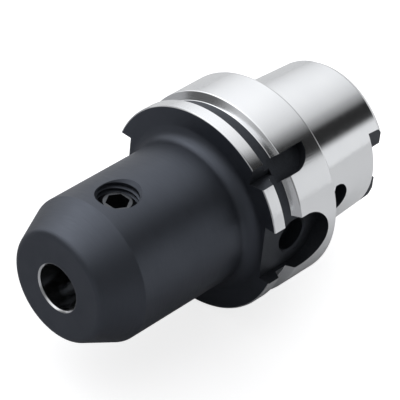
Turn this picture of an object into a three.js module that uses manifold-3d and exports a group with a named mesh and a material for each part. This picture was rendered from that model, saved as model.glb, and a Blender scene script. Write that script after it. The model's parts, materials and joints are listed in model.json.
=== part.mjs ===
// A side-lock end mill holder with a hollow taper shank: the steel body that a spindle grips by its short
// cone and flange, the screw that clamps a cutter in the bore, the screw that sets the cutter's depth, and
// the tube, nut and two O-rings that carry coolant across from the spindle.
//
// Millimetres. The origin is the centre of the flange's contact face, on the axis of the taper.
// +X runs along the axis into the spindle, so the nose and its cutter bore point to -X.
// +Z is the way out of the clamp screw's hole. The two drive keyways face -Y and +Y.

import * as THREE from "three";
import { mergeVertices } from "three/addons/utils/BufferGeometryUtils.js";
import Module from "manifold-3d";

// ---- Driving dimensions ----

// Taper shank
const SHANK_LENGTH = 32;
const GAUGE_DISTANCE = 6.3; // contact face to the plane where the cone's radius is measured
const TAPER_RATIO = 9.98; // one millimetre of diameter in this length
const SHANK_CHAMFER_LENGTH = 1.5;
const SHANK_CHAMFER_DEPTH = 0.9;
const ROOT_UNDERCUT = 1.0; // how far the relief at the cone's root is sunk into the contact face
const ROOT_UNDERCUT_REACH = 2.495; // of its rim outside the cone's gauge radius
const ROOT_UNDERCUT_WIDTH = 2.2;

// Hollow of the shank
const GRIP_WALL = 4.005; // between the cone's gauge radius and the recess that the jaws grip in
const GRIP_SHOULDER_HEIGHT = 3; // from that recess in to the mouth bore
const CAVITY_SHOULDER = 18.13; // where the 30 degree clamping shoulder meets the mouth bore
const SHOULDER_ANGLE = 30;
const CAVITY_FLOOR = 3;
const CAVITY_LEAD_IN = 0.8;
const SEAT_POCKET_STEP = 4; // of the pocket round the coolant nut's thread

// Flange
const FLANGE_RADIUS = 31.5;
const FLANGE_WIDTH = 26;
const CONTACT_STEP = 7.495; // of the flange's rim outside the cone's gauge radius
const FLANGE_BACK_CHAMFER = 0.9;
const FLANGE_FRONT_CHAMFER = 0.4;
const GROOVE_FROM_FRONT = 7.7; // centre of the gripper groove, from the flange's front face
const GROOVE_FLOOR_WIDTH = 4.14;
const GROOVE_DEPTH = 2.4;
const GROOVE_FLANK_ANGLE = 30; // from the radial plane, 60 degrees in all

// Cylindrical nose
const PROJECTION = 80; // contact face to nose face
const BODY_RADIUS = 22;
const BODY_FILLET = 4;
const NOSE_CONE_LENGTH = 12;
const NOSE_CONE_ANGLE = 24.5;
const NOSE_EDGE_RADIUS = 2.3;

// Cutter bore and what lies behind it
const BORE_RADIUS = 7;
const BORE_CHAMFER = 0.45;
const STOP_THREAD_RADIUS = 5;
const STOP_THREAD_LENGTH = 14;
const COOLANT_PASSAGE_RADIUS = 3.5;
const COOLANT_PASSAGE_LENGTH = 3;
const COOLANT_SEAT_DEPTH = 14; // contact face to the seat of the coolant nut

// Clamp screw and its hole
const CLAMP_FROM_NOSE = 21.6;
const CLAMP_THREAD_RADIUS = 6;
const CLAMP_MOUTH_WIDTH = 1; // of the countersink round the thread
const CLAMP_MOUTH_ANGLE = 45;
const CLAMP_SCREW_LENGTH = 16;
const CLAMP_SCREW_RECESS = 3; // of the screw's socket face below the body's surface
const CLAMP_TIP_CHAMFER = 1.45;
const CLAMP_SOCKET_ACROSS_FLATS = 6;
const CLAMP_SOCKET_DEPTH = 6;
const CLAMP_EDGE_CHAMFER = 1.6;

// Stop screw
const STOP_SCREW_LENGTH = 16;
const STOP_SCREW_ENGAGED = 7; // length of it that sits in its thread
const STOP_SOCKET_ACROSS_FLATS = 5;
const STOP_SOCKET_DEPTH = 5;
const STOP_COOLANT_RADIUS = 2;
const STOP_EDGE_CHAMFER = 0.8;

// Coolant tube, its nut and O-rings
const TUBE_RADIUS = 6;
const TUBE_WALL = 2;
const TUBE_LENGTH = 36.6;
const TUBE_TIP_CHAMFER = 0.8;
const NECK_DEPTH = 0.8; // of the tube behind its collar
const COLLAR_HEIGHT = 1;
const COLLAR_LENGTH = 3;
const COLLAR_PLAY = 0.5; // round the collar in the nut's chamber
const NUT_WALL = 1.2; // round the chamber
const NUT_LIP_LENGTH = 4.15; // of the nut beyond its chamber
const NUT_SLOT_WIDTH = 2.5;
const NUT_SLOT_DEPTH = 2;
const NUT_SLOTS = 6;
const RING_SECTION_RADIUS = 0.75;
const TUBE_PLAY = 0.4; // round the tube where it leaves the nut, so that it can tilt

// Drive keyways, notches and holes
const KEYWAYS = [
  { name: "narrow", side: -1, width: 18, depth: 5, end: 3.6 },
  { name: "wide", side: 1, width: 20, depth: 5.5, end: 3.6 },
];
const CHIP_HOLE_RADIUS = 5;
const CHIP_HOLE_DEPTH = 4.6;
const CHIP_HOLE_FROM_FACE = 13.6;
const NOTCH_ANGLE = -44; // round the axis from +Z towards +Y
const NOTCH_WIDTH = 6.4;
const NOTCH_DEPTH = 4.1;
const POCKET_ANGLE = -44;
const POCKET_WIDTH = 7;
const POCKET_CORNER = 6.5; // radius of its rounded corner, nearer the contact face
const POCKET_END = 5.5;
const POCKET_DEPTH = 2.9;
const POCKET_ARC_STEPS = 16;
const ACCESS_HOLE_RADIUS = 4.5;
const ACCESS_HOLE_X = 9;
const SLOT_WIDTH = 12.54; // drive slots in the end of the shank
const SLOT_DEPTH = 6;
const SLOT_FLAT_DEPTH = 4.605; // inside the cone's gauge radius, of the flat that each slot is cut in

// Clearances
const THREAD_GAP = 0.3;
const SEAT_GAP = 0.3;
const OVERCUT = 2; // how far a cutting solid runs past the surface that it opens

// Facets round the axis
const BODY_FACETS = 72;
const SMALL_FACETS = 36;
const RING_FACETS = 8;

// ---- Sizes and places that follow from these ----

const gaugeRadius = FLANGE_RADIUS - CONTACT_STEP;
const taperRadius = (x) => gaugeRadius - (x - GAUGE_DISTANCE) / (2 * TAPER_RATIO);
const gripRadius = gaugeRadius - GRIP_WALL;
const cavityMouthRadius = gripRadius - GRIP_SHOULDER_HEIGHT;
const grooveCentre = FLANGE_WIDTH - GROOVE_FROM_FRONT;
const bodyFillet = Math.min(BODY_FILLET, FLANGE_RADIUS - FLANGE_FRONT_CHAMFER - BODY_RADIUS);

// Along the axis behind the bore, back from the seat of the coolant nut.
const seatFloor = -COOLANT_SEAT_DEPTH;
const stopThreadEnd = seatFloor - COOLANT_PASSAGE_LENGTH;
const boreEnd = stopThreadEnd - STOP_THREAD_LENGTH;

const clampX = -PROJECTION + CLAMP_FROM_NOSE;
const clampMouthRadius = CLAMP_THREAD_RADIUS + CLAMP_MOUTH_WIDTH;
const clampScrewTop = BODY_RADIUS - CLAMP_SCREW_RECESS;

// The collar sits between two O-rings in the nut's chamber, so the tube can find its own line.
const nutStart = seatFloor + SEAT_GAP;
const frontRingX = nutStart + SEAT_GAP / 2 + RING_SECTION_RADIUS;
const collarStart = frontRingX + RING_SECTION_RADIUS + SEAT_GAP;
const collarEnd = collarStart + COLLAR_LENGTH;
const rearRingX = collarEnd + SEAT_GAP + RING_SECTION_RADIUS;
const chamberEnd = rearRingX + RING_SECTION_RADIUS + SEAT_GAP;
const nutEnd = chamberEnd + NUT_LIP_LENGTH;
const neckRadius = TUBE_RADIUS - NECK_DEPTH;
const collarRadius = TUBE_RADIUS + COLLAR_HEIGHT;
const ringRadius = neckRadius + SEAT_GAP + RING_SECTION_RADIUS;
const chamberRadius = collarRadius + COLLAR_PLAY;
const nutRadius = chamberRadius + NUT_WALL;
const tubeThreadRadius = nutRadius + THREAD_GAP;

// ---- Solids ----

const wasm = await Module();
wasm.setup();

const rad = THREE.MathUtils.degToRad;

function toSolid(geometry) {
  const bare = geometry.clone();
  bare.deleteAttribute("normal");
  bare.deleteAttribute("uv");
  const merged = mergeVertices(bare, 1e-4);
  const index = merged.index.array;
  const triVerts = [];
  for (let i = 0; i < index.length; i += 3) {
    const [a, b, c] = index.slice(i, i + 3);
    if (a !== b && b !== c && c !== a) triVerts.push(a, b, c);
  }
  const vertProperties = merged.attributes.position.array;
  const mesh = new wasm.Mesh({ numProp: 3, vertProperties, triVerts: new Uint32Array(triVerts) });
  return new wasm.Manifold(mesh);
}

function toMesh(name, solid, material) {
  const { vertProperties, triVerts } = solid.getMesh();
  const geometry = new THREE.BufferGeometry();
  geometry.setAttribute("position", new THREE.BufferAttribute(vertProperties, 3));
  geometry.setIndex(new THREE.BufferAttribute(triVerts, 1));
  geometry.computeVertexNormals();
  const mesh = new THREE.Mesh(geometry, material);
  mesh.name = name;
  return mesh;
}

// A solid of revolution about the X axis. The profile is [x, radius] pairs in order of rising x.
function turned(profile, facets = SMALL_FACETS) {
  const points = profile.map(([x, r]) => new THREE.Vector2(r, x));
  const geometry = new THREE.LatheGeometry(points, facets);
  geometry.rotateZ(-Math.PI / 2);
  return toSolid(geometry);
}

// A solid of revolution about the Z axis. The profile is [z, radius] pairs in order of rising z.
function turnedUpright(profile, facets = SMALL_FACETS) {
  const points = profile.map(([z, r]) => new THREE.Vector2(r, z));
  const geometry = new THREE.LatheGeometry(points, facets);
  geometry.rotateX(Math.PI / 2);
  return toSolid(geometry);
}

function rodAlongX(from, to, radius, facets = SMALL_FACETS) {
  return turned([[from, 0], [from, radius], [to, radius], [to, 0]], facets);
}

function block(x0, x1, y0, y1, z0, z1) {
  const geometry = new THREE.BoxGeometry(x1 - x0, y1 - y0, z1 - z0);
  geometry.translate((x0 + x1) / 2, (y0 + y1) / 2, (z0 + z1) / 2);
  return toSolid(geometry);
}

// A round hole whose axis leaves the X axis at a right angle, turned by an angle from +Z towards +Y.
function radialHole(x, angle, from, to, radius, facets = SMALL_FACETS) {
  const geometry = new THREE.CylinderGeometry(radius, radius, to - from, facets);
  geometry.rotateX(Math.PI / 2);
  geometry.translate(x, 0, (from + to) / 2);
  geometry.rotateX(-rad(angle));
  return toSolid(geometry);
}

function hexRodAlongZ(from, to, acrossFlats) {
  const radius = acrossFlats / Math.sqrt(3);
  const geometry = new THREE.CylinderGeometry(radius, radius, to - from, 6);
  geometry.rotateX(Math.PI / 2);
  geometry.translate(0, 0, (from + to) / 2);
  return toSolid(geometry);
}

// Points on an arc about (cx, cr) of a profile, with angles from the +x direction towards +radius.
function arc(cx, cr, radius, from, to, steps) {
  const points = [];
  for (let i = 0; i <= steps; i++) {
    const a = rad(from + ((to - from) * i) / steps);
    points.push([cx + radius * Math.cos(a), cr + radius * Math.sin(a)]);
  }
  return points;
}

// ---- Holder body ----

// The nose cone's edge is rounded where it meets the nose face.
function noseProfile() {
  const slope = Math.tan(rad(NOSE_CONE_ANGLE));
  const coneStart = -PROJECTION + NOSE_CONE_LENGTH;
  const sharpRadius = BODY_RADIUS - NOSE_CONE_LENGTH * slope;
  const turn = 90 - NOSE_CONE_ANGLE; // between the nose face and the cone
  const setback = NOSE_EDGE_RADIUS * Math.tan(rad(turn) / 2);
  const centreX = -PROJECTION + NOSE_EDGE_RADIUS;
  const centreR = sharpRadius - setback;
  return [
    [-PROJECTION, 0],
    ...arc(centreX, centreR, NOSE_EDGE_RADIUS, 180, 180 - turn, 5),
    [coneStart, BODY_RADIUS],
  ];
}

function grooveProfile() {
  const flank = GROOVE_DEPTH * Math.tan(rad(GROOVE_FLANK_ANGLE));
  const halfFloor = GROOVE_FLOOR_WIDTH / 2;
  return [
    [-grooveCentre - halfFloor - flank, FLANGE_RADIUS],
    [-grooveCentre - halfFloor, FLANGE_RADIUS - GROOVE_DEPTH],
    [-grooveCentre + halfFloor, FLANGE_RADIUS - GROOVE_DEPTH],
    [-grooveCentre + halfFloor + flank, FLANGE_RADIUS],
  ];
}

function shankProfile() {
  const coneEnd = SHANK_LENGTH - SHANK_CHAMFER_LENGTH;
  const coneStart = ROOT_UNDERCUT_WIDTH;
  const undercutRim = gaugeRadius + ROOT_UNDERCUT_REACH;
  return [
    [0, FLANGE_RADIUS - FLANGE_BACK_CHAMFER],
    [0, undercutRim],
    [-ROOT_UNDERCUT, undercutRim - ROOT_UNDERCUT / 2],
    [-ROOT_UNDERCUT / 2, taperRadius(coneStart) - ROOT_UNDERCUT / 2],
    [coneStart, taperRadius(coneStart)],
    [coneEnd, taperRadius(coneEnd)],
    [SHANK_LENGTH, taperRadius(coneEnd) - SHANK_CHAMFER_DEPTH],
    [SHANK_LENGTH, 0],
  ];
}

function outerBody() {
  const flangeFront = -FLANGE_WIDTH;
  const filletX = flangeFront - bodyFillet;
  return turned(
    [
      ...noseProfile(),
      ...arc(filletX, BODY_RADIUS + bodyFillet, bodyFillet, -90, 0, 6),
      [flangeFront, FLANGE_RADIUS - FLANGE_FRONT_CHAMFER],
      [flangeFront + FLANGE_FRONT_CHAMFER, FLANGE_RADIUS],
      ...grooveProfile(),
      [-FLANGE_BACK_CHAMFER, FLANGE_RADIUS],
      ...shankProfile(),
    ],
    BODY_FACETS,
  );
}

function cavityProfile() {
  const shoulderRun = GRIP_SHOULDER_HEIGHT / Math.tan(rad(SHOULDER_ANGLE));
  const pocketRadius = tubeThreadRadius + SEAT_POCKET_STEP;
  return [
    [-PROJECTION - OVERCUT, 0],
    [-PROJECTION - OVERCUT, BORE_RADIUS + BORE_CHAMFER],
    [-PROJECTION, BORE_RADIUS + BORE_CHAMFER],
    [-PROJECTION + BORE_CHAMFER, BORE_RADIUS],
    [boreEnd, BORE_RADIUS],
    [boreEnd, STOP_THREAD_RADIUS],
    [stopThreadEnd, STOP_THREAD_RADIUS],
    [stopThreadEnd, COOLANT_PASSAGE_RADIUS],
    [seatFloor, COOLANT_PASSAGE_RADIUS],
    [seatFloor, tubeThreadRadius],
    [nutEnd, tubeThreadRadius],
    [nutEnd, pocketRadius],
    [CAVITY_FLOOR, pocketRadius],
    [CAVITY_FLOOR, gripRadius],
    [CAVITY_SHOULDER - shoulderRun, gripRadius],
    [CAVITY_SHOULDER, cavityMouthRadius],
    [SHANK_LENGTH - CAVITY_LEAD_IN, cavityMouthRadius],
    [SHANK_LENGTH, cavityMouthRadius + CAVITY_LEAD_IN],
    [SHANK_LENGTH + OVERCUT, cavityMouthRadius + CAVITY_LEAD_IN],
    [SHANK_LENGTH + OVERCUT, 0],
  ];
}

function clampHole() {
  const sink = CLAMP_MOUTH_WIDTH / Math.tan(rad(CLAMP_MOUTH_ANGLE));
  const top = BODY_RADIUS + OVERCUT;
  const flare = clampMouthRadius + OVERCUT * Math.tan(rad(CLAMP_MOUTH_ANGLE));
  const hole = turnedUpright([
    [0, 0],
    [0, CLAMP_THREAD_RADIUS],
    [BODY_RADIUS - sink, CLAMP_THREAD_RADIUS],
    [top, flare],
    [top, 0],
  ]);
  return hole.translate([clampX, 0, 0]);
}

// A round-ended slot, open at the front of the flange, with a flat floor.
function keyway({ side, width, depth, end }) {
  const half = width / 2;
  const floor = FLANGE_RADIUS - depth;
  const top = FLANGE_RADIUS + OVERCUT;
  const yLow = side > 0 ? floor : -top;
  const yHigh = side > 0 ? top : -floor;
  const round = radialHole(-end - half, side * 90, floor, top, half, BODY_FACETS);
  return block(-FLANGE_WIDTH - OVERCUT, -end - half, yLow, yHigh, -half, half).add(round);
}

function chipHole() {
  const { side, depth } = KEYWAYS[0];
  const floor = FLANGE_RADIUS - depth;
  return radialHole(-CHIP_HOLE_FROM_FACE, side * 90, floor - CHIP_HOLE_DEPTH, floor + OVERCUT,
    CHIP_HOLE_RADIUS);
}

// The vee in the front rim of the flange, which shows a gripper which way round the holder is.
function orientationNotch() {
  const grow = (FLANGE_RADIUS + OVERCUT - (FLANGE_RADIUS - NOTCH_DEPTH)) / NOTCH_DEPTH;
  const half = (NOTCH_WIDTH / 2) * grow;
  const shape = new THREE.Shape();
  shape.moveTo(0, FLANGE_RADIUS - NOTCH_DEPTH);
  shape.lineTo(half, FLANGE_RADIUS + OVERCUT);
  shape.lineTo(-half, FLANGE_RADIUS + OVERCUT);
  shape.closePath();
  const depth = GROOVE_FROM_FRONT + OVERCUT;
  const geometry = new THREE.ExtrudeGeometry(shape, { depth, bevelEnabled: false });
  geometry.rotateX(Math.PI / 2);
  geometry.rotateZ(Math.PI / 2);
  geometry.translate(-FLANGE_WIDTH - OVERCUT, 0, 0);
  geometry.rotateX(-rad(NOTCH_ANGLE));
  return toSolid(geometry);
}

// The recess in the back land of the flange, open to the gripper groove and rounded on its lower side.
function gripPocket() {
  const top = FLANGE_RADIUS + OVERCUT;
  const floor = FLANGE_RADIUS - POCKET_DEPTH;
  const half = POCKET_WIDTH / 2;
  const shape = new THREE.Shape();
  shape.moveTo(-grooveCentre, -half);
  shape.lineTo(-POCKET_END - POCKET_CORNER, -half);
  shape.absarc(-POCKET_END - POCKET_CORNER, POCKET_CORNER - half, POCKET_CORNER, -Math.PI / 2, 0, false);
  shape.lineTo(-POCKET_END, half);
  shape.lineTo(-grooveCentre, half);
  shape.closePath();
  const depth = top - floor;
  const geometry = new THREE.ExtrudeGeometry(shape, { depth, bevelEnabled: false, curveSegments: POCKET_ARC_STEPS });
  geometry.translate(0, 0, floor);
  geometry.rotateX(-rad(POCKET_ANGLE));
  return toSolid(geometry);
}

function accessHole() {
  return radialHole(ACCESS_HOLE_X, KEYWAYS[0].side * 90, gripRadius / 2, taperRadius(0) + OVERCUT,
    ACCESS_HOLE_RADIUS);
}

// In the end of the shank, a flat on each side with a slot through the wall below it.
function driveSlots() {
  const start = SHANK_LENGTH - SLOT_DEPTH;
  const end = SHANK_LENGTH + OVERCUT;
  const out = taperRadius(start) + OVERCUT;
  const flat = gaugeRadius - SLOT_FLAT_DEPTH;
  const half = SLOT_WIDTH / 2;
  const cuts = [block(start, end, -out, out, -half, half)];
  for (const { side } of KEYWAYS) {
    const yLow = side > 0 ? flat : -out;
    const yHigh = side > 0 ? out : -flat;
    cuts.push(block(start, end, yLow, yHigh, -out, out));
  }
  return cuts;
}

function holderBody() {
  const cuts = [
    turned(cavityProfile(), BODY_FACETS),
    clampHole(),
    ...KEYWAYS.map(keyway),
    chipHole(),
    orientationNotch(),
    gripPocket(),
    accessHole(),
    ...driveSlots(),
  ];
  return cuts.reduce((body, cut) => body.subtract(cut), outerBody());
}

// ---- Screws ----

function clampScrew() {
  const radius = CLAMP_THREAD_RADIUS - THREAD_GAP;
  const low = clampScrewTop - CLAMP_SCREW_LENGTH;
  const blank = turnedUpright([
    [low, 0],
    [low, radius - CLAMP_TIP_CHAMFER],
    [low + CLAMP_TIP_CHAMFER, radius],
    [clampScrewTop - CLAMP_EDGE_CHAMFER, radius],
    [clampScrewTop, radius - CLAMP_EDGE_CHAMFER],
    [clampScrewTop, 0],
  ]);
  const socketFloor = clampScrewTop - CLAMP_SOCKET_DEPTH;
  const socket = hexRodAlongZ(socketFloor, clampScrewTop + OVERCUT, CLAMP_SOCKET_ACROSS_FLATS);
  return blank.subtract(socket).translate([clampX, 0, 0]);
}

function stopScrew() {
  const radius = STOP_THREAD_RADIUS - THREAD_GAP;
  const back = boreEnd + STOP_SCREW_ENGAGED;
  const front = back - STOP_SCREW_LENGTH;
  const blank = turned([
    [front, 0],
    [front, radius - STOP_EDGE_CHAMFER],
    [front + STOP_EDGE_CHAMFER, radius],
    [back - STOP_EDGE_CHAMFER, radius],
    [back, radius - STOP_EDGE_CHAMFER],
    [back, 0],
  ]);
  const socket = hexRodAlongZ(-STOP_SOCKET_DEPTH, OVERCUT, STOP_SOCKET_ACROSS_FLATS);
  const turnedSocket = socket.rotate([0, -90, 0]).translate([front, 0, 0]);
  const coolantHole = rodAlongX(front - OVERCUT, back + OVERCUT, STOP_COOLANT_RADIUS, SMALL_FACETS / 2);
  return blank.subtract(turnedSocket).subtract(coolantHole);
}

// ---- Coolant tube ----

function coolantTube() {
  const tip = collarStart + TUBE_LENGTH;
  const boreRadius = TUBE_RADIUS - TUBE_WALL;
  const blank = turned([
    [collarStart, 0],
    [collarStart, collarRadius],
    [collarEnd, collarRadius],
    [collarEnd, neckRadius],
    [chamberEnd, neckRadius],
    [chamberEnd, TUBE_RADIUS],
    [tip - TUBE_TIP_CHAMFER, TUBE_RADIUS],
    [tip, TUBE_RADIUS - TUBE_TIP_CHAMFER],
    [tip, 0],
  ]);
  return blank.subtract(rodAlongX(collarStart - OVERCUT, tip + OVERCUT, boreRadius));
}

function coolantNut() {
  const throat = TUBE_RADIUS + TUBE_PLAY;
  const blank = rodAlongX(nutStart, nutEnd, nutRadius);
  const hollow = turned([
    [nutStart - OVERCUT, 0],
    [nutStart - OVERCUT, chamberRadius],
    [chamberEnd, chamberRadius],
    [chamberEnd, throat],
    [nutEnd + OVERCUT, throat],
    [nutEnd + OVERCUT, 0],
  ]);
  let nut = blank.subtract(hollow);
  const half = NUT_SLOT_WIDTH / 2;
  const reach = nutRadius + OVERCUT;
  for (let i = 0; i < NUT_SLOTS / 2; i++) {
    const slot = block(nutEnd - NUT_SLOT_DEPTH, nutEnd + OVERCUT, -half, half, -reach, reach);
    nut = nut.subtract(slot.rotate([(i * 360) / NUT_SLOTS, 0, 0]));
  }
  return nut;
}

function oRing(x) {
  const section = arc(x, ringRadius, RING_SECTION_RADIUS, 180, 540, RING_FACETS).reverse();
  return turned(section);
}

// ---- Materials and assembly ----

function steel(color, roughness, metalness) {
  return new THREE.MeshStandardMaterial({ color, roughness, metalness });
}

const part = new THREE.Group();
part.add(
  toMesh("holder_body", holderBody(), steel(0x50555c, 0.4, 0.85)),
  toMesh("clamp_screw", clampScrew(), steel(0x2c2e31, 0.45, 0.8)),
  toMesh("stop_screw", stopScrew(), steel(0x34363a, 0.45, 0.8)),
  toMesh("coolant_tube", coolantTube(), steel(0xb4b8bb, 0.3, 0.9)),
  toMesh("coolant_nut", coolantNut(), steel(0x8f9497, 0.35, 0.9)),
  toMesh("o_ring_front", oRing(frontRingX), steel(0x17181a, 0.7, 0)),
  toMesh("o_ring_rear", oRing(rearRingX), steel(0x17181a, 0.7, 0)),
);

export default part;
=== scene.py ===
# %% [markdown]
# # A side-lock end mill holder with a hollow taper shank
# The holder is one steel forging that has been turned, milled, blackened and then ground on the surfaces
# that have to be exact. A big screw set square to the bore clamps the cutter. Hidden in the shank are the
# tube, the nut and the O-rings that carry coolant. The mechanical model is loaded first and never
# changed. Every piece below is a finer mesh that takes the place of one of its nodes.

# %% Load the mechanical model
import json
import math
import bmesh
import bpy
from mathutils import Matrix, Vector

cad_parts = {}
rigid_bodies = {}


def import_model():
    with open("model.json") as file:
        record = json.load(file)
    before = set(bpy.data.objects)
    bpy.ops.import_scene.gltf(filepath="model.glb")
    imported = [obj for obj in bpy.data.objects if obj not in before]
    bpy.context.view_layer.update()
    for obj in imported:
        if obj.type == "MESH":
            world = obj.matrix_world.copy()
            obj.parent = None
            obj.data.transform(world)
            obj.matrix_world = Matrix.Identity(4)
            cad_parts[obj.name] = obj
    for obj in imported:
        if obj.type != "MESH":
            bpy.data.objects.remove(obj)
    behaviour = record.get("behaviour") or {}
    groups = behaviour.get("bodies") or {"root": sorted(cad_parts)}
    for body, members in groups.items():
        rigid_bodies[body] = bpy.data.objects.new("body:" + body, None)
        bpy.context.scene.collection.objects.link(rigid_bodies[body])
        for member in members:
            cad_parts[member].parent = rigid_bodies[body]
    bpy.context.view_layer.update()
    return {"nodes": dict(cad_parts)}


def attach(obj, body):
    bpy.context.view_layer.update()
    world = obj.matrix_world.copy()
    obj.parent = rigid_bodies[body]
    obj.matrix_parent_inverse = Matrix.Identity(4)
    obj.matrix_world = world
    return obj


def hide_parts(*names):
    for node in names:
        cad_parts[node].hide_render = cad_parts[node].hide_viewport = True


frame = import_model()
print("nodes:", sorted(frame["nodes"]))

# %% [markdown]
# All sizes below are written in millimetres, as on a workshop drawing, and Blender works in metres. One
# factor turns one into the other. The origin is the centre of the flange's contact face, +X runs into the
# spindle and +Z points out of the clamp screw's hole.

# %% Units
MM = 0.001


def mm(*values):
    return Vector([v * MM for v in values])


# %% [markdown]
# ## The camera
# A long lens from about three quarters of a metre gives the flat perspective of a catalogue view. The
# camera is placed by the direction that it stands in, and it aims at the holder's axis near the flange.

# %% Camera
AIM = mm(-22.5, 0.8, 0.7)
CAMERA_DISTANCE = 737.0 * MM
CAMERA_AZIMUTH = math.radians(-140.49)
CAMERA_ELEVATION = math.radians(37.66)
CAMERA_ROLL = math.radians(6.18)
LENS = 233.0
SENSOR = 36.0

camera_data = bpy.data.cameras.new("camera")
camera_data.lens = LENS
camera_data.sensor_width = SENSOR
camera = bpy.data.objects.new("camera", camera_data)
bpy.context.scene.collection.objects.link(camera)
camera_side = Vector((
    math.cos(CAMERA_ELEVATION) * math.cos(CAMERA_AZIMUTH),
    math.cos(CAMERA_ELEVATION) * math.sin(CAMERA_AZIMUTH),
    math.sin(CAMERA_ELEVATION),
))
turn_to_view = camera_side.to_track_quat("Z", "Y").to_matrix().to_4x4()
roll = Matrix.Rotation(CAMERA_ROLL, 4, "Z")
camera.matrix_world = Matrix.Translation(AIM + camera_side * CAMERA_DISTANCE) @ turn_to_view @ roll
bpy.context.scene.camera = camera
bpy.context.scene.view_settings.view_transform = "Standard"
print("camera at", [round(v, 4) for v in camera.matrix_world.translation])

# %% [markdown]
# ## Building a material from nodes
# Every finish here is made of the same few steps: take a point on the piece, make a pattern from it, and
# let the pattern steer colour, roughness or bump. Three small helpers keep those steps short. The point
# is always in Object coordinates, so a pattern stays where it was cut when the piece moves.

# %% Node helpers
def new_material(name):
    material = bpy.data.materials.new(name)
    material.use_nodes = True
    tree = material.node_tree
    shader = tree.nodes["Principled BSDF"]
    point = tree.nodes.new("ShaderNodeTexCoord").outputs["Object"]
    return material, tree, shader, point


def add_node(tree, kind, inputs=None, **settings):
    node = tree.nodes.new("ShaderNode" + kind)
    for name, value in settings.items():
        setattr(node, name, value)
    for name, value in (inputs or {}).items():
        if isinstance(value, bpy.types.NodeSocket):
            tree.links.new(value, node.inputs[name])
        else:
            node.inputs[name].default_value = value
    return node


def ramp(tree, factor, low, high, from_low=0.0, from_high=1.0):
    spread = add_node(tree, "MapRange", {
        "Value": factor, "From Min": from_low, "From Max": from_high, "To Min": low, "To Max": high,
    })
    return spread.outputs["Result"]


def blend_colours(tree, factor, first, second):
    mix = add_node(tree, "Mix", data_type="RGBA")
    tree.links.new(factor, mix.inputs[0])
    mix.inputs[6].default_value = (*first, 1)
    mix.inputs[7].default_value = (*second, 1)
    return mix.outputs[2]


def noise(tree, point, scale, detail=3.0, stretch=(1, 1, 1)):
    shaped = add_node(tree, "Mapping", {"Vector": point, "Scale": stretch})
    texture = add_node(tree, "TexNoise", {
        "Vector": shaped.outputs["Vector"], "Scale": scale, "Detail": detail,
    })
    return texture.outputs["Fac"]


def bump(tree, shader, height, depth, strength=1.0):
    node = add_node(tree, "Bump", {"Height": height, "Distance": depth * MM, "Strength": strength})
    tree.links.new(node.outputs["Normal"], shader.inputs["Normal"])


# %% [markdown]
# ## Ground steel
# The flange's rim, the sides of its groove, its contact face and the cone are ground after hardening. A
# grinding wheel leaves very fine lines that run round the axis, so the pattern is stretched: it changes
# fast along X and slowly round the piece. The metal itself is nearly mirror bright, and the lines only
# smear its reflections.

# %% Ground steel
ground_steel, tree, shader, point = new_material("ground_steel")
lines = noise(tree, point, 900.0, detail=4.0, stretch=(9, 0.35, 0.35))
clouds = noise(tree, point, 90.0, detail=2.0)
tree.links.new(blend_colours(tree, clouds, (0.80, 0.81, 0.83), (0.88, 0.885, 0.895)),
               shader.inputs["Base Color"])
tree.links.new(ramp(tree, lines, 0.11, 0.19, 0.3, 0.7), shader.inputs["Roughness"])
shader.inputs["Metallic"].default_value = 1.0
bump(tree, shader, lines, 0.004)

# %% [markdown]
# ## Black oxide
# The rest of the forging is blackened in a hot salt bath, which turns the skin of the steel blue-black
# without adding a coat. Turning marks still show through it as faint rings, and the colour drifts a
# little from place to place. A dark metal with middling roughness gives the soft sheen, and it turns
# bright at grazing angles.

# %% Black oxide
black_oxide, tree, shader, point = new_material("black_oxide")
rings = noise(tree, point, 700.0, detail=3.0, stretch=(6, 0.25, 0.25))
drift = noise(tree, point, 70.0, detail=4.0)
tree.links.new(blend_colours(tree, drift, (0.072, 0.079, 0.096), (0.098, 0.107, 0.128)),
               shader.inputs["Base Color"])
tree.links.new(ramp(tree, rings, 0.40, 0.50, 0.3, 0.7), shader.inputs["Roughness"])
shader.inputs["Metallic"].default_value = 0.95
bump(tree, shader, rings, 0.006)

# %% [markdown]
# ## Milled pockets
# Slots, notches and pockets are milled before blackening. The cutter leaves a duller, finer-grained face
# than the lathe does, so this oxide is rougher. Its colour is also darker, as painted shade, because next
# to no light gets into the corners.

# %% Milled black with painted shade
milled_oxide_painted_shade, tree, shader, point = new_material("milled_oxide_painted_shade")
grain = noise(tree, point, 1600.0, detail=3.0)
tree.links.new(blend_colours(tree, grain, (0.038, 0.042, 0.050), (0.070, 0.076, 0.088)),
               shader.inputs["Base Color"])
tree.links.new(ramp(tree, grain, 0.40, 0.55), shader.inputs["Roughness"])
shader.inputs["Metallic"].default_value = 0.85
bump(tree, shader, grain, 0.01)

# %% [markdown]
# ## Screw steel, tube steel and rubber
# The screws are blackened alloy steel with rolled threads, a little glossier than the body. The coolant
# tube and its nut are bright turned steel. The O-rings are moulded rubber with a fine matt skin.

# %% Screw steel
screw_steel, tree, shader, point = new_material("screw_steel")
grain = noise(tree, point, 1200.0, detail=3.0)
tree.links.new(blend_colours(tree, grain, (0.055, 0.058, 0.064), (0.11, 0.115, 0.125)),
               shader.inputs["Base Color"])
tree.links.new(ramp(tree, grain, 0.26, 0.4), shader.inputs["Roughness"])
shader.inputs["Metallic"].default_value = 0.95
bump(tree, shader, grain, 0.006)

# %% Turned bright steel
tube_steel, tree, shader, point = new_material("tube_steel")
rings = noise(tree, point, 1000.0, detail=2.0, stretch=(7, 0.3, 0.3))
tree.links.new(blend_colours(tree, rings, (0.55, 0.56, 0.57), (0.74, 0.75, 0.76)),
               shader.inputs["Base Color"])
tree.links.new(ramp(tree, rings, 0.2, 0.34), shader.inputs["Roughness"])
shader.inputs["Metallic"].default_value = 1.0
bump(tree, shader, rings, 0.006)

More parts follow.
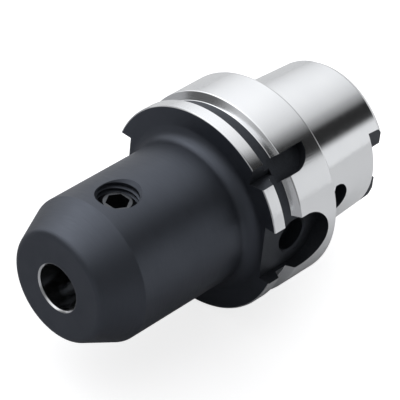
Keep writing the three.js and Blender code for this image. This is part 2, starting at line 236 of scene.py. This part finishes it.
# %% Seal rubber
seal_rubber, tree, shader, point = new_material("seal_rubber")
skin = noise(tree, point, 3000.0, detail=2.0)
tree.links.new(blend_colours(tree, skin, (0.012, 0.012, 0.013), (0.024, 0.024, 0.026)),
               shader.inputs["Base Color"])
tree.links.new(ramp(tree, skin, 0.5, 0.7), shader.inputs["Roughness"])
bump(tree, shader, skin, 0.01)
print("materials:", len(bpy.data.materials))

# %% [markdown]
# ## Turning a profile
# A lathe makes a round piece from a profile, and so does the spin operator. The profile is drawn as
# corners, each with the radius that breaks its edge, because no real machined edge is dead sharp and the
# thin bright line along an edge is what makes metal look real. `soften` swaps each corner for a short
# arc. Each corner also names the finish of the surface that leads away from it, and an arc between two
# finishes takes the ground one.

# %% Profiles
# The third finish is the milled one, and its darker colour is painted shade.
BLACK, GROUND, MILLED_PAINTED_SHADE = 0, 1, 2
BODY_FINISHES = (black_oxide, ground_steel, milled_oxide_painted_shade)


def arc_steps(radius):
    return 3 if radius < 0.5 else 6 if radius < 1.5 else 14


def soften(corners):
    """Corners are (along, radius, edge radius, finish). Returns [(point, finish of the next segment)]."""
    points = []
    for i, (along, away, edge, finish) in enumerate(corners):
        before = corners[i - 1]
        after = corners[(i + 1) % len(corners)]
        here = Vector((along, away))
        if edge == 0:
            points.append((here, finish))
            continue
        back = (Vector(before[:2]) - here).normalized()
        ahead = (Vector(after[:2]) - here).normalized()
        half = back.angle(ahead) / 2
        centre = here + (back + ahead).normalized() * edge / math.sin(half)
        start = here + back * edge / math.tan(half) - centre
        end = here + ahead * edge / math.tan(half) - centre
        steps = arc_steps(edge)
        arc_finish = GROUND if GROUND in (finish, before[3]) else finish
        for k in range(steps):
            points.append((centre + start.lerp(end, k / steps).normalized() * edge, arc_finish))
        points.append((centre + end, finish))
    return points


def outline(softened):
    return [stretch[0] for stretch in softened]


def turn_on_axis(points, axis, steps):
    """Spins (along, radius) points, closed into a loop, right round the X or Z axis through the origin."""
    bm = bmesh.new()
    if axis == "X":
        verts = [bm.verts.new(mm(along, 0, away)) for along, away in points]
    else:
        verts = [bm.verts.new(mm(away, 0, along)) for along, away in points]
    edges = [bm.edges.new((verts[i - 1], verts[i])) for i in range(len(verts))
             if points[i - 1][1] > 0 or points[i][1] > 0]
    direction = (1, 0, 0) if axis == "X" else (0, 0, 1)
    bmesh.ops.spin(bm, geom=verts + edges, cent=(0, 0, 0), axis=direction,
                   angle=math.tau, steps=steps, use_merge=True)
    return tidy(bm)


def tidy(bm):
    bmesh.ops.remove_doubles(bm, verts=bm.verts, dist=0.0005 * MM)
    bmesh.ops.dissolve_degenerate(bm, edges=bm.edges, dist=0.0002 * MM)
    bmesh.ops.recalc_face_normals(bm, faces=bm.faces)
    return bm


# %% [markdown]
# ## Cutting
# A milled slot or a drilled hole is a second solid taken away from the first. Each cutter is a closed
# mesh, and the Boolean modifier subtracts it. The result is kept as a plain mesh, and the cutter is
# thrown away, as swarf. A finished piece is shaded smooth except at its sharp edges. Smooth shading alone
# lets the small rounded edges tilt the shading of the wide faces beside them, so the weighted normals
# give the wide faces the last word.

# %% Pieces and cutters
def make_object(name, bm, materials):
    mesh = bpy.data.meshes.new(name)
    bm.to_mesh(mesh)
    bm.free()
    for material in materials:
        mesh.materials.append(material)
    piece = bpy.data.objects.new(name, mesh)
    bpy.context.scene.collection.objects.link(piece)
    return piece


# Cut faces take the milled finish unless told otherwise, and its darker colour is painted shade.
def cut_away(piece, cutter_bm, finish=MILLED_PAINTED_SHADE):
    for face in cutter_bm.faces:
        face.material_index = finish
    cutter = make_object("cutter", cutter_bm, list(piece.data.materials))
    modifier = piece.modifiers.new("cut", "BOOLEAN")
    modifier.operation = "DIFFERENCE"
    modifier.solver = "MANIFOLD"
    modifier.object = cutter
    result = piece.evaluated_get(bpy.context.evaluated_depsgraph_get())
    kept = bpy.data.meshes.new_from_object(result)
    piece.modifiers.remove(modifier)
    piece.data = kept
    bpy.data.objects.remove(cutter)


def finish_piece(piece, body, node, sharp=28):
    piece.data.shade_smooth()
    piece.data.set_sharp_from_angle(angle=math.radians(sharp))
    flatten = piece.modifiers.new("flatten", "WEIGHTED_NORMAL")
    flatten.keep_sharp = True
    result = piece.evaluated_get(bpy.context.evaluated_depsgraph_get())
    mesh = bpy.data.meshes.new_from_object(result)
    piece.modifiers.remove(flatten)
    piece.data = mesh
    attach(piece, body)
    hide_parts(node)
    print(piece.name, "faces:", len(mesh.polygons))


# %% [markdown]
# ## The holder's profile
# The outside runs from the nose, over the cone at its end and the straight body, up the fillet to the
# flange, through the gripper groove and down to the short cone of the shank. The inside comes back
# through the cavity, the coolant passage and the bore. Both are one closed line, so the spin gives one
# closed body.

# %% Sizes of the holder
NOSE_FACE = -80.0
BODY_RADIUS = 22.0
FLANGE_FRONT = -26.0
FLANGE_RADIUS = 31.5
GROOVE_CENTRE = -18.3
GROOVE_HALF_FLOOR = 2.07
GROOVE_DEPTH = 2.4
GROOVE_FLANK = GROOVE_DEPTH * math.tan(math.radians(30))
SHANK_END = 32.0


def cone_radius(along):
    return 24.005 - (along - 6.3) / (2 * 9.98)


# %% The closed profile
NOSE_CONE_LENGTH = 12.0
NOSE_CONE_DROP = NOSE_CONE_LENGTH * math.tan(math.radians(24.5))
outside = [
    (NOSE_FACE, BODY_RADIUS - NOSE_CONE_DROP, 2.3, BLACK),
    (NOSE_FACE + NOSE_CONE_LENGTH, BODY_RADIUS, 1.2, BLACK),
    (FLANGE_FRONT, BODY_RADIUS, 4.0, BLACK),
    (FLANGE_FRONT, FLANGE_RADIUS, 0.4, GROUND),
    (GROOVE_CENTRE - GROOVE_HALF_FLOOR - GROOVE_FLANK, FLANGE_RADIUS, 0.15, GROUND),
    # The groove's floor takes the milled finish, whose darker colour is painted shade.
    (GROOVE_CENTRE - GROOVE_HALF_FLOOR, FLANGE_RADIUS - GROOVE_DEPTH, 0.3, MILLED_PAINTED_SHADE),
    (GROOVE_CENTRE + GROOVE_HALF_FLOOR, FLANGE_RADIUS - GROOVE_DEPTH, 0.3, GROUND),
    (GROOVE_CENTRE + GROOVE_HALF_FLOOR + GROOVE_FLANK, FLANGE_RADIUS, 0.5, GROUND),
    (0.0, FLANGE_RADIUS, 0.9, GROUND),
    (0.0, 26.5, 0.15, GROUND),
    (-1.0, 26.0, 0.3, BLACK),
    (-0.5, cone_radius(2.2) - 0.5, 0.4, BLACK),
    (2.2, cone_radius(2.2), 0.2, GROUND),
    (SHANK_END - 1.5, cone_radius(SHANK_END - 1.5), 0.5, GROUND),
    (SHANK_END, cone_radius(SHANK_END - 1.5) - 0.9, 0.2, GROUND),
]
inside = [
    (SHANK_END, 17.8, 0.15, GROUND),
    (SHANK_END - 0.8, 17.0, 0.2, GROUND),
    (18.13, 17.0, 0.4, GROUND),
    (12.93, 20.0, 0.4, BLACK),
    (3.0, 20.0, 0.8, BLACK),
    (3.0, 13.0, 0.3, BLACK),
    (-2.5, 13.0, 0.5, BLACK),
    (-2.5, 9.0, 0.3, BLACK),
    (-14.0, 9.0, 0.3, BLACK),
    (-14.0, 3.5, 0.2, BLACK),
    (-17.0, 3.5, 0.2, BLACK),
    (-17.0, 5.0, 0.3, BLACK),
    (-31.0, 5.0, 0.2, BLACK),
    (-31.0, 7.0, 0.3, GROUND),
    (NOSE_FACE + 0.45, 7.0, 0.08, GROUND),
    (NOSE_FACE, 7.45, 0.08, BLACK),
]
profile = soften(outside + inside)
print("profile points:", len(profile))

# %% [markdown]
# ## Turning the body
# The spin leaves faces in rings. A face takes the finish of the nearest stretch of the profile, and each
# ring is looked up once.

# %% Turn the body
BODY_STEPS = 240


def finish_at(along, away, found={}):
    key = (round(along, 2), round(away, 2))
    if key not in found:
        best = None
        for i, (start, finish) in enumerate(profile):
            end = profile[(i + 1) % len(profile)][0]
            gap = (Vector((along, away)) - (start + end) / 2).length
            run = (end - start).length / 2
            score = max(gap - run, 0) + abs(gap) * 1e-3
            if best is None or score < best[0]:
                best = (score, finish)
        found[key] = best[1]
    return found[key]


bm = turn_on_axis([point for point, finish in profile], "X", BODY_STEPS)
for face in bm.faces:
    middle = face.calc_center_median() / MM
    face.material_index = finish_at(middle.x, math.hypot(middle.y, middle.z))
holder = make_object("holder_forging", bm, BODY_FINISHES)
print("turned body:", len(holder.data.polygons), "faces")

# %% [markdown]
# ## The clamp screw's hole
# The hole is tapped M12 from the top, 21.6 mm from the nose, and its mouth is countersunk so that the
# screw starts easily. A tap leaves a spiral groove, so the tap here is a small face swept round and up by
# the spin operator with a step along its axis.

# %% Round and spiral cutters
CLAMP_X = NOSE_FACE + 21.6
THREAD_STEPS = 48


def upright_cutter(points, x, steps=96):
    bm = turn_on_axis(points, "Z", steps)
    bmesh.ops.translate(bm, vec=mm(x, 0, 0), verts=bm.verts)
    return bm


def spiral(root, crest, root_half, crest_half, pitch, turns, start):
    """A closed spiral about Z. Its section is root_half high each way at radius root, and so on."""
    bm = bmesh.new()
    section = [(root, -root_half), (crest, -crest_half), (crest, crest_half), (root, root_half)]
    face = bm.faces.new([bm.verts.new(mm(away, 0, start + up)) for away, up in section])
    steps = int(THREAD_STEPS * turns)
    bmesh.ops.spin(bm, geom=bm.verts[:] + bm.edges[:] + [face], cent=(0, 0, 0), axis=(0, 0, 1),
                   dvec=mm(0, 0, pitch * turns / steps), angle=math.tau * turns, steps=steps)
    bmesh.ops.holes_fill(bm, edges=bm.edges)
    bmesh.ops.recalc_face_normals(bm, faces=bm.faces)
    return bm


# %% Drill, countersink and tap
TAP_RADIUS = 5.95
MOUTH_RADIUS = 7.0
PITCH = 1.75
mouth_sink = MOUTH_RADIUS - TAP_RADIUS
drill = upright_cutter([
    (0.0, 0.0), (0.0, TAP_RADIUS), (BODY_RADIUS - mouth_sink, TAP_RADIUS),
    (BODY_RADIUS + 2.0, MOUTH_RADIUS + 2.0), (BODY_RADIUS + 2.0, 0.0),
], CLAMP_X)
cut_away(holder, drill, BLACK)
tap = spiral(TAP_RADIUS - 0.1, TAP_RADIUS + 0.85, 0.78, 0.14, PITCH, 7.6, 7.2)
bmesh.ops.translate(tap, vec=mm(CLAMP_X, 0, 0), verts=tap.verts)
cut_away(holder, tap, BLACK)
print("after tapping:", len(holder.data.polygons), "faces")

# %% [markdown]
# ## Keyways, pocket, notch and slots
# An end mill leaves a round-ended slot. Its cutter starts as a box, and beveling the two upright edges at
# one end by half the width gives that round end. Beveling just one of them gives the recess in the
# flange's back land, which is square on its upper side. The gripper's notch is a square bar turned on its
# corner.

# %% Milling cutters
def box_cutter(x0, x1, y0, y1, z0, z1):
    bm = bmesh.new()
    size = mm(x1 - x0, y1 - y0, z1 - z0)
    centre = mm(x0 + x1, y0 + y1, z0 + z1) / 2
    bmesh.ops.create_cube(bm, size=1.0, matrix=Matrix.Translation(centre) @ Matrix.Diagonal((*size, 1)))
    return bm


def round_ended_cutter(x0, x1, half_width, floor, top, angle, one_corner=0.0):
    """A slot along X that is round at x1, or has one rounded corner there, turned about the X axis."""
    bm = box_cutter(x0, x1, -half_width, half_width, floor, top)
    ends = [e for e in bm.edges if all(abs(v.co.x - x1 * MM) < 1e-7 for v in e.verts)
            and abs(e.verts[0].co.z - e.verts[1].co.z) > 1e-6]
    if one_corner:
        ends = [e for e in ends if e.verts[0].co.y < 0]
    bmesh.ops.bevel(bm, geom=ends, offset=(one_corner or half_width * 0.998) * MM, segments=32, profile=0.5,
                    affect="EDGES", material=-1)
    bmesh.ops.rotate(bm, cent=(0, 0, 0), matrix=Matrix.Rotation(-math.radians(angle), 3, "X"),
                     verts=bm.verts)
    return bm


def radial_cutter(x, angle, points):
    bm = upright_cutter(points, x, 72)
    bmesh.ops.rotate(bm, cent=(0, 0, 0), matrix=Matrix.Rotation(-math.radians(angle), 3, "X"),
                     verts=bm.verts)
    return bm


# %% Keyways and chip recess
OVERRUN = 3.0
FLANGE_OUT = FLANGE_RADIUS + OVERRUN
NARROW_SIDE, WIDE_SIDE = -90, 90
KEYWAY_END = -3.6
CUT_START = FLANGE_FRONT - OVERRUN
NARROW_HALF, NARROW_FLOOR = 9.0, 26.5
WIDE_HALF, WIDE_FLOOR = 10.0, 26.0
CHIP_X, CHIP_RADIUS, CHIP_BOTTOM, CHIP_TAPER_START, CHIP_TOP = -13.6, 5.0, 21.9, 26.0, 27.5
chip_top_radius = CHIP_RADIUS + CHIP_TOP - CHIP_TAPER_START
cut_away(holder, round_ended_cutter(CUT_START, KEYWAY_END, NARROW_HALF, NARROW_FLOOR,
                                    FLANGE_OUT, NARROW_SIDE))
cut_away(holder, round_ended_cutter(CUT_START, KEYWAY_END, WIDE_HALF, WIDE_FLOOR,
                                    FLANGE_OUT, WIDE_SIDE))
cut_away(holder, radial_cutter(CHIP_X, NARROW_SIDE, [
    (CHIP_BOTTOM, 0.0), (CHIP_BOTTOM, CHIP_RADIUS), (CHIP_TAPER_START, CHIP_RADIUS),
    (CHIP_TOP, chip_top_radius), (CHIP_TOP, 0.0),
]))

# %% Gripper recess and notch
RECESS_END, RECESS_HALF, RECESS_FLOOR = -5.5, 3.5, 28.6
RECESS_ANGLE, RECESS_CORNER = -44, 6.5
cut_away(holder, round_ended_cutter(GROOVE_CENTRE, RECESS_END, RECESS_HALF, RECESS_FLOOR,
                                    FLANGE_OUT, RECESS_ANGLE, one_corner=RECESS_CORNER))
NOTCH_DEPTH, NOTCH_WIDTH, NOTCH_ANGLE = 4.1, 6.4, -44
notch_half_height = 8.0
notch_half_width = notch_half_height * NOTCH_WIDTH / 2 / NOTCH_DEPTH
bm = bmesh.new()
bmesh.ops.create_cone(bm, cap_ends=True, segments=4, radius1=MM, radius2=MM,
                      depth=(GROOVE_CENTRE - FLANGE_FRONT + OVERRUN) * MM)
bmesh.ops.rotate(bm, cent=(0, 0, 0), matrix=Matrix.Rotation(math.radians(90), 3, "Y"), verts=bm.verts)
bmesh.ops.scale(bm, vec=(1, notch_half_width, notch_half_height), verts=bm.verts)
bmesh.ops.translate(bm, vec=mm((GROOVE_CENTRE + FLANGE_FRONT - OVERRUN) / 2, 0,
                               FLANGE_RADIUS - NOTCH_DEPTH + notch_half_height), verts=bm.verts)
bmesh.ops.rotate(bm, cent=(0, 0, 0), matrix=Matrix.Rotation(-math.radians(NOTCH_ANGLE), 3, "X"),
                 verts=bm.verts)
cut_away(holder, bm)

# %% Access hole and drive slots
ACCESS_X, ACCESS_RADIUS, ACCESS_BOTTOM, ACCESS_TOP = 9.0, 4.5, 12.0, 30.0
cut_away(holder, radial_cutter(ACCESS_X, NARROW_SIDE, [
    (ACCESS_BOTTOM, 0.0), (ACCESS_BOTTOM, ACCESS_RADIUS), (ACCESS_TOP, ACCESS_RADIUS), (ACCESS_TOP, 0.0),
]))
SLOT_START = SHANK_END - 6.0
SLOT_BOTTOM = 12.0
SLOT_HALF, SLOT_FLAT, SHANK_OUT = 6.27, 19.4, 26.0
for side in (-1, 1):
    flat = sorted((side * SLOT_FLAT, side * SHANK_OUT))
    cut_away(holder, box_cutter(SLOT_START, SHANK_END + OVERRUN, *flat, -SHANK_OUT, SHANK_OUT))
    slot = sorted((side * SLOT_BOTTOM, side * SHANK_OUT))
    cut_away(holder, box_cutter(SLOT_START, SHANK_END + OVERRUN, *slot, -SLOT_HALF, SLOT_HALF))
finish_piece(holder, "holder", "holder_body")

# %% [markdown]
# ## The clamp screw
# The screw is M12 and 16 mm long. Its tip is coned down to a flat that presses on the flat of the
# cutter's shank, and its socket takes a 6 mm key. The thread is cut by the same spiral as the tap, but
# with the wide side out.

# %% Clamp screw
SCREW_TOP = 19.0
SCREW_RADIUS = 5.75


def hex_socket(across_flats, bottom, top, steps=6):
    bm = bmesh.new()
    bmesh.ops.create_cone(bm, cap_ends=True, segments=steps, depth=(top - bottom) * MM,
                          radius1=across_flats / math.sqrt(3) * MM, radius2=across_flats / math.sqrt(3) * MM)
    bmesh.ops.translate(bm, vec=mm(0, 0, (top + bottom) / 2), verts=bm.verts)
    return bm


screw_profile = soften([
    (SCREW_TOP - 16.0, 0.0, 0, BLACK),
    (SCREW_TOP - 16.0, 4.25, 0.3, BLACK),
    (SCREW_TOP - 14.5, SCREW_RADIUS, 0.3, BLACK),
    (SCREW_TOP - 1.6, SCREW_RADIUS, 0.3, BLACK),
    (SCREW_TOP, 4.1, 0.15, BLACK),
    (SCREW_TOP, 0.0, 0, BLACK),
])
clamp_screw = make_object("clamp_screw_m12", turn_on_axis(outline(screw_profile), "Z", 96),
                          [screw_steel])
cut_away(clamp_screw, spiral(SCREW_RADIUS + 0.1, SCREW_RADIUS - 0.75, 0.76, 0.12, PITCH, 9.5, 2.0), 0)
cut_away(clamp_screw, hex_socket(6.0, SCREW_TOP - 6.0, SCREW_TOP + 1.0), 0)
clamp_screw.data.transform(Matrix.Translation(mm(CLAMP_X, 0, 0)))
finish_piece(clamp_screw, "clamp_screw", "clamp_screw")

# %% [markdown]
# ## The stop screw
# A hollow screw closes the bore's far end. The cutter's shank is set against it, and coolant runs through
# it. It is built upright and then laid along the axis with its socket towards the nose.

# %% Stop screw
STOP_FRONT = -40.0
STOP_RADIUS = 4.75
stop_profile = soften([
    (0.0, 2.0, 0.2, BLACK),
    (0.0, STOP_RADIUS, 0.6, BLACK),
    (16.0, STOP_RADIUS, 0.6, BLACK),
    (16.0, 2.0, 0.2, BLACK),
])
stop_screw = make_object("stop_screw_m10", turn_on_axis(outline(stop_profile), "Z", 96), [screw_steel])
cut_away(stop_screw, spiral(STOP_RADIUS + 0.1, STOP_RADIUS - 0.65, 0.65, 0.1, 1.5, 12.0, -1.0), 0)
cut_away(stop_screw, hex_socket(5.0, 11.0, 17.0), 0)
lay_down = Matrix.Translation(mm(STOP_FRONT + 16.0, 0, 0)) @ Matrix.Rotation(-math.radians(90), 4, "Y")
stop_screw.data.transform(lay_down)
finish_piece(stop_screw, "stop_screw", "stop_screw")

# %% [markdown]
# ## Coolant tube, nut and O-rings
# The tube ends in a collar. The nut traps the collar between two O-rings, so the tube seals and can still
# find its own line. All of them are turned. The nut has slots across its end for a pronged key.

# %% Coolant tube
SEAT = -13.7
COLLAR = (-11.75, -8.75)
TUBE_TIP = 24.85
tube_profile = soften([
    (COLLAR[0], 4.0, 0.2, BLACK),
    (COLLAR[0], 7.0, 0.4, BLACK),
    (COLLAR[1], 7.0, 0.4, BLACK),
    (COLLAR[1], 5.2, 0.3, BLACK),
    (-6.65, 5.2, 0.2, BLACK),
    (-6.65, 6.0, 0.2, BLACK),
    (TUBE_TIP - 0.8, 6.0, 0.3, BLACK),
    (TUBE_TIP, 5.2, 0.2, BLACK),
    (TUBE_TIP, 4.4, 0.15, BLACK),
    (TUBE_TIP - 0.5, 4.0, 0.15, BLACK),
])
tube = make_object("coolant_tube_12mm", turn_on_axis(outline(tube_profile), "X", 128), [tube_steel])
finish_piece(tube, "coolant_tube", "coolant_tube")

# %% Tube nut
NUT_END = SEAT + 11.2
nut_profile = soften([
    (SEAT, 7.5, 0.2, BLACK),
    (SEAT, 8.7, 0.4, BLACK),
    (NUT_END, 8.7, 0.5, BLACK),
    (NUT_END, 6.4, 0.3, BLACK),
    (-6.65, 6.4, 0.2, BLACK),
    (-6.65, 7.5, 0.2, BLACK),
])
nut = make_object("coolant_tube_nut", turn_on_axis(outline(nut_profile), "X", 128), [tube_steel])
for turn in range(3):
    slot = box_cutter(NUT_END - 2.0, NUT_END + 2.0, -1.25, 1.25, -12.0, 12.0)
    bmesh.ops.rotate(slot, cent=(0, 0, 0), matrix=Matrix.Rotation(math.radians(60 * turn), 3, "X"),
                     verts=slot.verts)
    cut_away(nut, slot, 0)
finish_piece(nut, "holder", "coolant_nut")

# %% O-rings
RING_SECTION = 0.75
RING_RADIUS = 6.25
for node, middle in (("o_ring_front", -12.8), ("o_ring_rear", -7.7)):
    section = [(middle + RING_SECTION * math.cos(a), RING_RADIUS + RING_SECTION * math.sin(a))
               for a in (math.tau * k / 24 for k in range(24))]
    ring = make_object(node + "_seal", turn_on_axis(section, "X", 96), [seal_rubber])
    finish_piece(ring, "holder", node)

# %% [markdown]
# ## Floor
# The holder rests on a pale paper floor. A product picture is usually cut out and set on pure white, so
# the paper is a plain mid grey for the light that bounces off it, and the camera alone sees it glow
# almost white. Bright metal shows whatever is round it, so a white floor under it would wash out all its
# dark tones. The paper's colour is a little lighter under the shank than under the nose, a painted pool of
# light for the shank's cone to reflect.

# %% Floor
FLOOR_SIZE = 12.0
FLOOR_GAP = 0.05
PAPER_GLOW = 0.78
floor_bm = bmesh.new()
bmesh.ops.create_grid(floor_bm, x_segments=1, y_segments=1, size=FLOOR_SIZE / 2,
                      matrix=Matrix.Translation(mm(0, 0, -FLANGE_RADIUS - FLOOR_GAP)))
paper, tree, shader, point = new_material("paper_floor")
along = add_node(tree, "SeparateXYZ", {"Vector": point}).outputs["X"]
# Painted light: the paper gets lighter towards the shank, standing in for more light falling there.
painted_light_under_shank = ramp(tree, along, 0.0, 1.0, -40 * MM, 50 * MM)
fibres = noise(tree, point, 400.0)
painted_lighter_paper = add_node(tree, "Math", {0: painted_light_under_shank, 1: ramp(tree, fibres, 0.97, 1.0)}, operation="MULTIPLY")
tree.links.new(blend_colours(tree, painted_lighter_paper.outputs[0], (0.44, 0.44, 0.45), (0.80, 0.80, 0.80)),
               shader.inputs["Base Color"])
shader.inputs["Roughness"].default_value = 0.95
shader.inputs["Specular IOR Level"].default_value = 0.1
seen = add_node(tree, "LightPath").outputs["Is Camera Ray"]
shader.inputs["Emission Color"].default_value = (1, 1, 1, 1)
tree.links.new(ramp(tree, seen, 0.0, PAPER_GLOW), shader.inputs["Emission Strength"])
floor = make_object("floor", floor_bm, [paper])

# %% [markdown]
# ## Sky
# The studio is painted on the sky as brightness by direction. A broad soft source hangs high on the far
# side. A white reflector stands low at the right, and a dark panel hangs just above it. Bright metal has
# no colour of its own, so the dark band along the cone and the rim is the mirror image of that panel. The
# cone leans and the rim doesn't, so the panel is tilted too, until the band falls at the same place on
# both. A dark card low on the nose side shades the upper end of the groove's flank.

# %% Sky helpers
world = bpy.data.worlds.new("studio")
bpy.context.scene.world = world
world.use_nodes = True
tree = world.node_tree
background = tree.nodes["Background"]
direction = add_node(tree, "TexCoord").outputs["Generated"]


def facing(azimuth, elevation):
    """How directly the sky's direction faces the given one: 1 is the same, 0 is square to it."""
    turn, rise = math.radians(azimuth), math.radians(elevation)
    target = (math.cos(rise) * math.cos(turn), math.cos(rise) * math.sin(turn), math.sin(rise))
    product = add_node(tree, "VectorMath", {0: direction, 1: target}, operation="DOT_PRODUCT")
    return product.outputs["Value"]


def combine(operation, first, second):
    return add_node(tree, "Math", {0: first, 1: second}, operation=operation).outputs[0]


# %% Source, reflector and panel
SOURCE_SIDE, SOURCE_DIM, SOURCE_BRIGHT = (90, 53), 0.20, 1.40
REFLECTOR_SIDE, REFLECTOR_BRIGHT = (-25, 6), 0.86
PANEL_TILT, PANEL_SIDE = (2.5, 51.3), (-62, 2)
CARD_SIDE, CARD_DARK = (128, 4), 0.85
DARKEST = 0.02
source = ramp(tree, facing(*SOURCE_SIDE), SOURCE_DIM, SOURCE_BRIGHT, 0.17, 0.95)
reflector = ramp(tree, facing(*REFLECTOR_SIDE), 0.0, REFLECTOR_BRIGHT, 0.60, 0.94)
across_panel = facing(*PANEL_TILT)
above_edge = ramp(tree, across_panel, 0.0, 1.0, 0.666, 0.745)
below_top = ramp(tree, across_panel, 1.0, 0.0, 0.893, 0.978)
beside = ramp(tree, facing(*PANEL_SIDE), 0.0, 1.0, 0.30, 0.50)
panel = combine("MULTIPLY", combine("MULTIPLY", above_edge, below_top), beside)
card = ramp(tree, facing(*CARD_SIDE), 0.0, CARD_DARK, 0.86, 0.97)
open_sky = combine("MULTIPLY", combine("SUBTRACT", 1.0, panel), combine("SUBTRACT", 1.0, card))
lit = combine("MULTIPLY", combine("MAXIMUM", source, reflector), open_sky)
brightness = combine("MAXIMUM", lit, DARKEST)
tree.links.new(brightness, background.inputs["Strength"])
background.inputs["Color"].default_value = (0.98, 0.99, 1.0, 1)

# %% Key light
key_data = bpy.data.lights.new("key", "AREA")
key_data.shape = "DISK"
key_data.size = 1.0
key_data.energy = 1.5
key = bpy.data.objects.new("key", key_data)
bpy.context.scene.collection.objects.link(key)
key_place = Vector((0.05, 0.89, 1.17))
key.matrix_world = Matrix.Translation(key_place) @ key_place.to_track_quat("Z", "Y").to_matrix().to_4x4()
